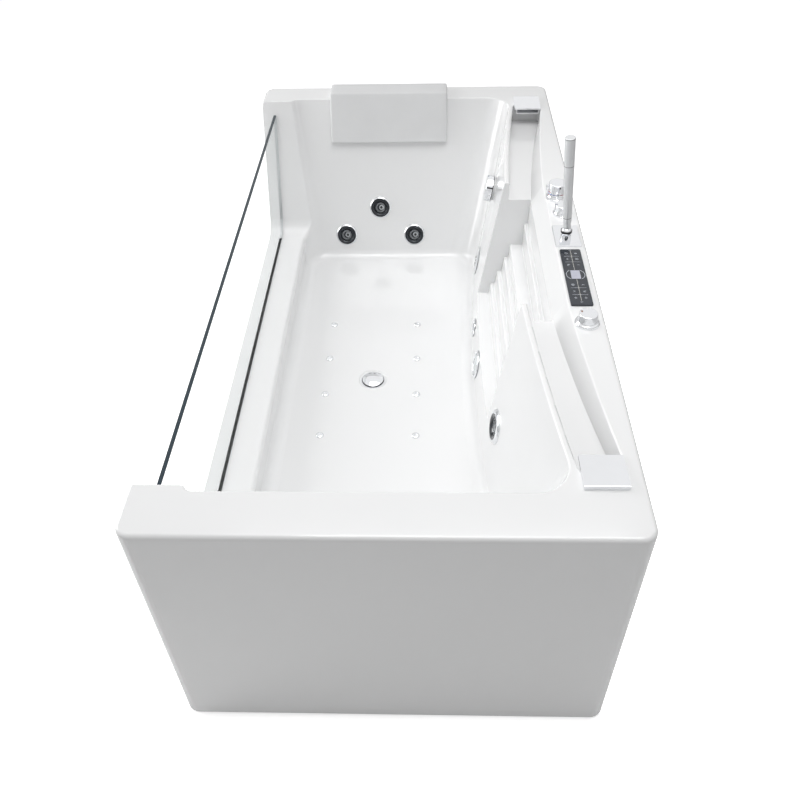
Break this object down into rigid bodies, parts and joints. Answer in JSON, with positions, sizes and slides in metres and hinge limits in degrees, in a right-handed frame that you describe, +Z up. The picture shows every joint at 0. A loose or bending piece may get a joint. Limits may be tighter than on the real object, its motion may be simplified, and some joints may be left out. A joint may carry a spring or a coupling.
{
  "type": "jetted bathtub",
  "caption": "Built-in jetted bathtub with a window bay, stepped water cascade, waterfall spouts, swivelling jets, deck controls, hand shower and head pillow.",
  "frame": {"origin": "centre of the underside of the whole bath, on the floor", "axes": "+Z up, +Y along the bath towards the head end with the pillow, +X across the bath from the window side to the controls"},
  "size_m": [0.85, 1.7, 0.8511],
  "materials": {
    "acrylic": "gloss",
    "clear_glass": "polished",
    "silicone": "satin",
    "board": "matt",
    "frame_steel": "satin",
    "zinc_steel": "satin",
    "foot_rubber": "matt",
    "chrome": "mirror",
    "satin_chrome": "satin",
    "nozzle_plastic": "gloss",
    "lens_plastic": "gloss",
    "panel_glass": "gloss",
    "black_plastic": "satin",
    "white_plastic": "satin",
    "motor_paint": "satin",
    "brass": "satin",
    "pillow_foam": "matt"
  },
  "bodies": {
    "bath": {"air_blower": "black_plastic", "air_jet_bodies": "white_plastic", "air_jet_caps": "chrome", "air_pipe": "white_plastic", "air_valve": "white_plastic", "back_jet_centre_bezel": "chrome", "back_jet_left_bezel": "chrome", "back_jet_right_bezel": "chrome", "base_board": "board", "bath_shell": "acrylic", "control_box": "black_plastic", "control_panel": "panel_glass", "corner_uprights": "frame_steel", "cross_members": "frame_steel", "delivery_pipe": "white_plastic", "drain_flange": "chrome", "drain_trap": "white_plastic", "equipment_trays": "zinc_steel", "foot_end_panel": "acrylic", "foot_pads": "foot_rubber", "foot_spout": "chrome", "foot_studs": "zinc_steel", "glass_seal": "silicone", "handset_plate": "chrome", "handset_socket": "chrome", "head_end_panel": "acrylic", "head_spout": "chrome", "knob_collars": "chrome", "level_sensor": "chrome", "light_lens": "lens_plastic", "light_ring": "chrome", "long_rails": "frame_steel", "mixer_body": "brass", "overflow_body": "white_plastic", "overflow_pipe": "white_plastic", "panel_housing": "black_plastic", "pump_fan_cover": "black_plastic", "pump_motor": "motor_paint", "pump_wet_end": "black_plastic", "rim_rails": "frame_steel", "side_jet_bezel": "chrome", "skirt_clips": "zinc_steel", "suction_cover": "chrome", "suction_pipe": "white_plastic", "wall_housings": "white_plastic", "waste_pipe": "white_plastic", "window_glass": "clear_glass", "window_side_panel": "acrylic"},
    "flow_control": {"flow_knob": "chrome"},
    "thermostat": {"thermostat_knob": "chrome"},
    "diverter": {"diverter_knob": "chrome"},
    "overflow_control": {"overflow_knob": "chrome"},
    "waste_plug": {"drain_plug": "chrome"},
    "back_nozzle_left": {"back_jet_left_nozzle": "nozzle_plastic"},
    "back_nozzle_centre": {"back_jet_centre_nozzle": "nozzle_plastic"},
    "back_nozzle_right": {"back_jet_right_nozzle": "nozzle_plastic"},
    "side_nozzle": {"side_jet_nozzle": "nozzle_plastic"},
    "handset": {"hand_shower": "satin_chrome"},
    "pillow": {"head_pillow": "pillow_foam"},
    "temperature_stop": {"stop_button": "chrome"}
  },
  "joints": [
    {"name": "flow_turn", "type": "hinge", "parent": "bath", "child": "flow_control", "pos_m": [0.387, -0.316, 0.6], "axis": [0, 0, 1], "range_deg": [-135, 135]},
    {"name": "temperature_turn", "type": "hinge", "parent": "bath", "child": "thermostat", "pos_m": [0.382, 0.178, 0.6], "axis": [0, 0, 1], "range_deg": [-60, 200]},
    {"name": "diverter_turn", "type": "hinge", "parent": "bath", "child": "diverter", "pos_m": [0.388, 0.104, 0.6], "axis": [0, 0, 1], "range_deg": [-90, 90]},
    {"name": "overflow_turn", "type": "hinge", "parent": "bath", "child": "overflow_control", "pos_m": [0.25696, 0.47, 0.462], "axis": [-0.9839, 0.0941, 0.1518], "range_deg": [0, 90]},
    {"name": "plug_lift", "type": "slide", "parent": "bath", "child": "waste_plug", "axis": [0, 0, 1], "range_m": [0, 0.01]},
    {"name": "back_left_swivel", "type": "hinge", "parent": "bath", "child": "back_nozzle_left", "pos_m": [-0.186, 0.62261, 0.22107], "axis": [1, 0, 0], "range_deg": [-12, 12]},
    {"name": "back_centre_swivel", "type": "hinge", "parent": "bath", "child": "back_nozzle_centre", "pos_m": [-0.078, 0.65367, 0.30007], "axis": [1, 0, 0], "range_deg": [-12, 12]},
    {"name": "back_right_swivel", "type": "hinge", "parent": "bath", "child": "back_nozzle_right", "pos_m": [0.028, 0.62261, 0.22107], "axis": [1, 0, 0], "range_deg": [-12, 12]},
    {"name": "side_swivel", "type": "hinge", "parent": "bath", "child": "side_nozzle", "pos_m": [0.22921, -0.32349, 0.31076], "axis": [0.0648, -0.9979, 0], "range_deg": [-12, 12]},
    {"name": "handset_lift", "type": "slide", "parent": "bath", "child": "handset", "axis": [-0.0872, 0, 0.9962], "range_m": [0, 0.12]},
    {"name": "pillow_lift", "type": "slide", "parent": "bath", "child": "pillow", "axis": [0, 0, 1], "range_m": [0, 0.15]},
    {"name": "stop_press", "type": "slide", "parent": "thermostat", "child": "temperature_stop", "axis": [1, 0, 0], "range_m": [0, 0.002], "stiffness_N_per_m": 400, "springref_m": -0.001}
  ],
  "couplings": [
    {"joint": "plug_lift", "follows": "overflow_turn", "m_per_rad": 0.00636}
  ]
}
